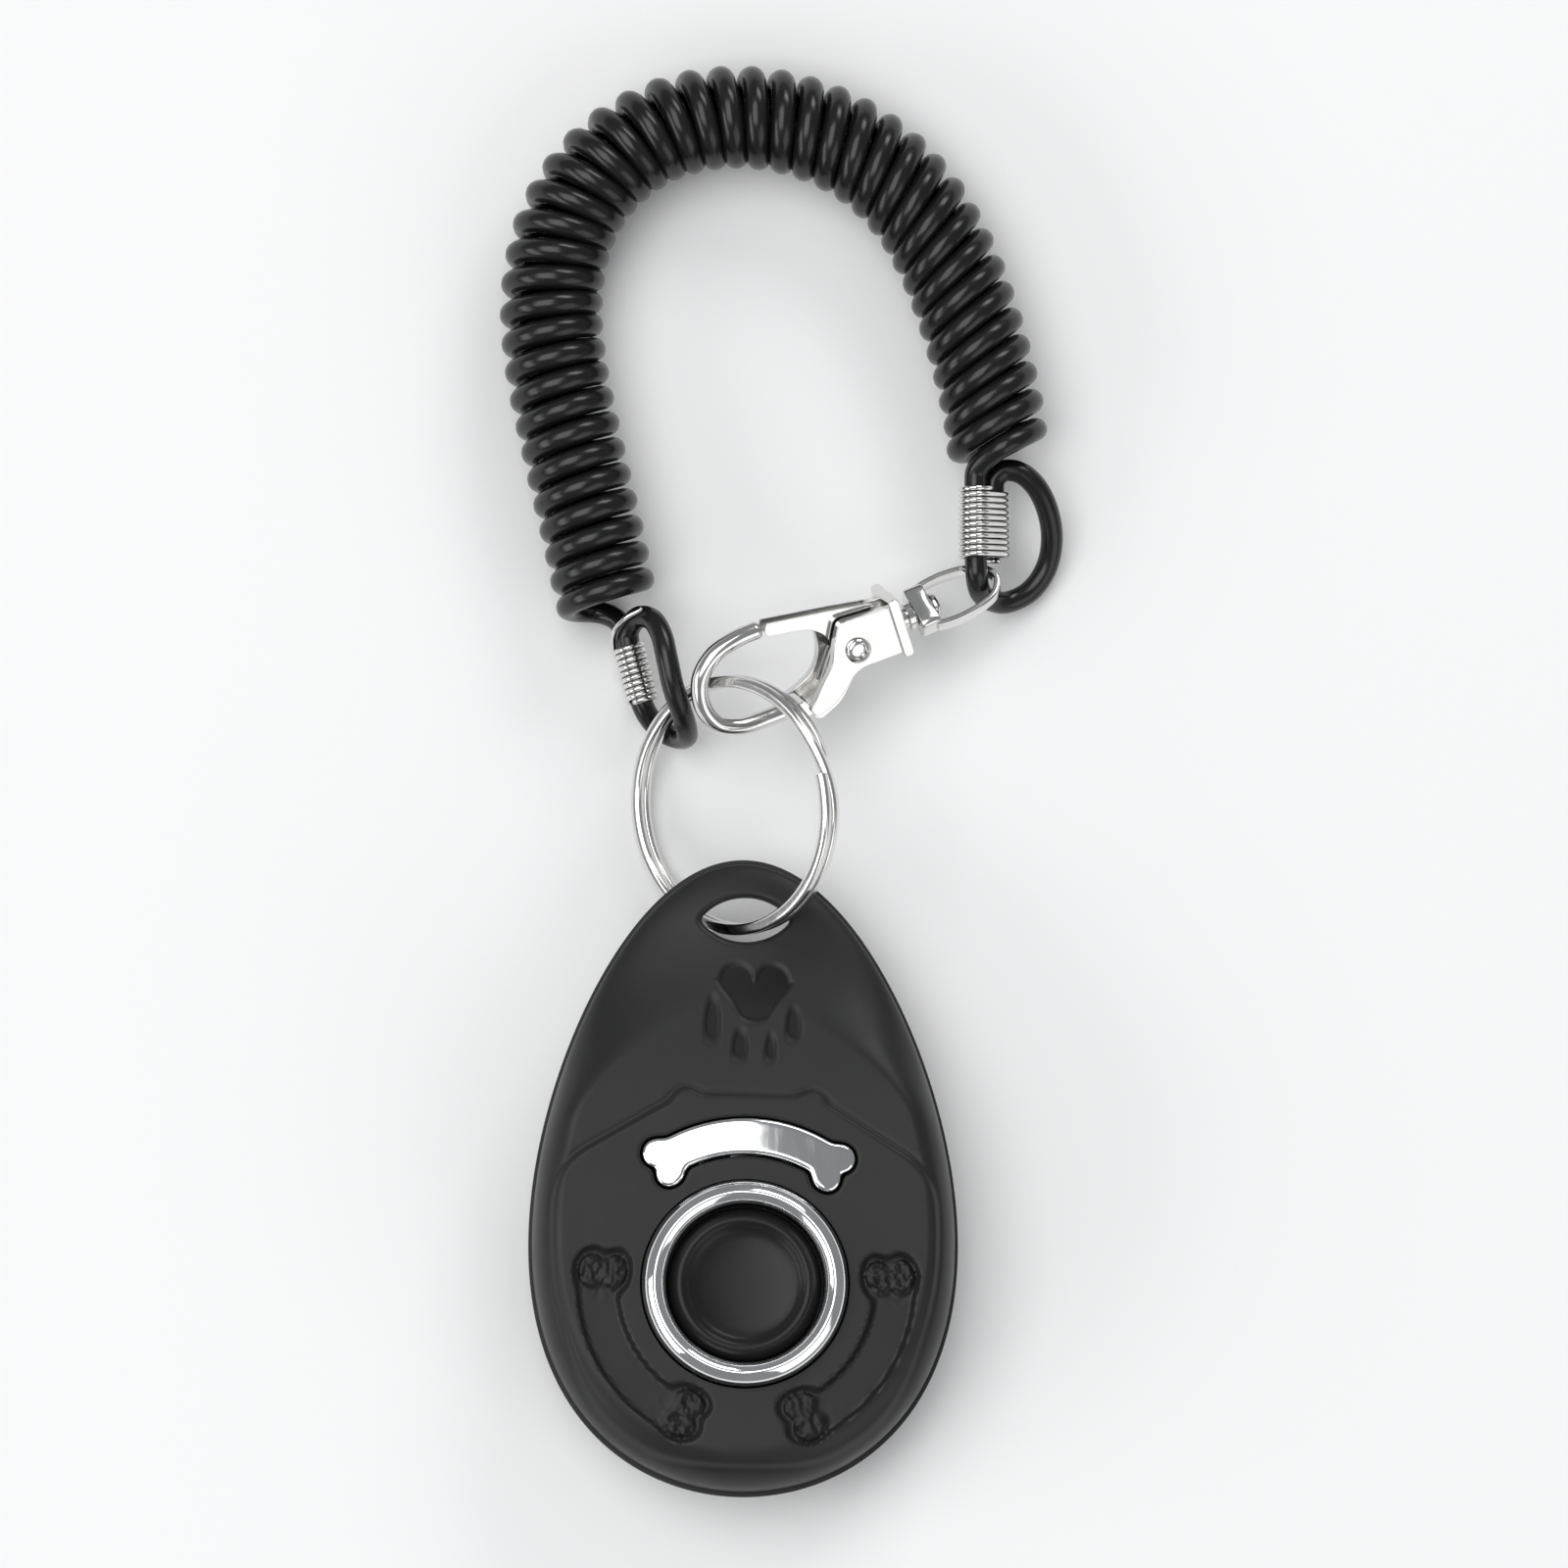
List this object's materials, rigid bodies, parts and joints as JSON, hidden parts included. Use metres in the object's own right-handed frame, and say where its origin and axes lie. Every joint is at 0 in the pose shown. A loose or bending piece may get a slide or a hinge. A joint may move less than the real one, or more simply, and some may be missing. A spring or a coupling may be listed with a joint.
{
  "type": "clicker trainer",
  "caption": "Egg-shaped pet-training clicker with a big ringed push button, a split ring through its tab, and a coiled wrist strap with a swivel snap hook.",
  "frame": {"origin": "on the case's flat back face, below the case's widest line", "axes": "+Y along the case towards the ring and the strap, +Z out of the button face, +X to the right seen from the front"},
  "size_m": [0.058, 0.148, 0.0201],
  "materials": {
    "case_plastic": "satin",
    "button_plastic": "satin",
    "bezel_chrome": "polished",
    "nickel_plate": "polished",
    "spring_steel": "satin",
    "cord_plastic": "gloss"
  },
  "bodies": {
    "case": {"front_shell": "case_plastic", "back_shell": "case_plastic", "button_bezel": "bezel_chrome", "bone_inlay": "bezel_chrome", "plate_clamp": "case_plastic", "plate_screw": "spring_steel", "case_screw_left": "spring_steel", "case_screw_right": "spring_steel", "case_screw_top": "spring_steel"},
    "button": {"button_cap": "button_plastic"},
    "click_leaf": {"click_plate": "spring_steel"},
    "ring": {"split_ring": "nickel_plate"},
    "strap": {"wrist_coil": "cord_plastic", "ring_loop": "cord_plastic", "clasp_loop": "cord_plastic", "ferrule_ring_end": "nickel_plate", "ferrule_clasp_end": "nickel_plate"},
    "eye": {"swivel_eye": "nickel_plate"},
    "hook": {"clasp_body": "nickel_plate", "clasp_rivet": "nickel_plate", "gate_spring": "spring_steel"},
    "gate": {"clasp_gate": "nickel_plate"}
  },
  "joints": [
    {"name": "button_press", "type": "slide", "parent": "case", "child": "button", "axis": [0, 0, -1], "range_m": [0, 0.0015], "stiffness_N_per_m": 1500},
    {"name": "leaf_flex", "type": "hinge", "parent": "case", "child": "click_leaf", "pos_m": [0, 0.01, 0.0065], "axis": [1, 0, 0], "range_deg": [0, 6.2]},
    {"name": "ring_swing", "type": "hinge", "parent": "case", "child": "ring", "pos_m": [0, 0.0333, 0.0096], "axis": [1, 0, 0], "range_deg": [-18, 18]},
    {"name": "strap_swing", "type": "hinge", "parent": "ring", "child": "strap", "pos_m": [-0.00499, 0.05729, 0.00843], "axis": [0.6684, 0.329, 0.6671], "range_deg": [-6, 10]},
    {"name": "eye_swing", "type": "hinge", "parent": "strap", "child": "eye", "pos_m": [0.0247, 0.068, 0.0062], "axis": [0.0518, -0.4403, -0.8964], "range_deg": [-2, 0.5]},
    {"name": "hook_swivel", "type": "hinge", "parent": "eye", "child": "hook", "pos_m": [0.01603, 0.06457, 0.0084], "axis": [-0.9014, -0.407, 0.1478], "range_deg": [-12, 10]},
    {"name": "gate_open", "type": "hinge", "parent": "hook", "child": "gate", "pos_m": [0.01104, 0.06213, 0.00913], "axis": [0.3173, -0.3887, 0.865], "range_deg": [0, 22], "stiffness_Nm_per_rad": 0.03, "springref_deg": -11.46}
  ],
  "couplings": [
    {"joint": "leaf_flex", "follows": "button_press", "rad_per_m": 68.49}
  ]
}
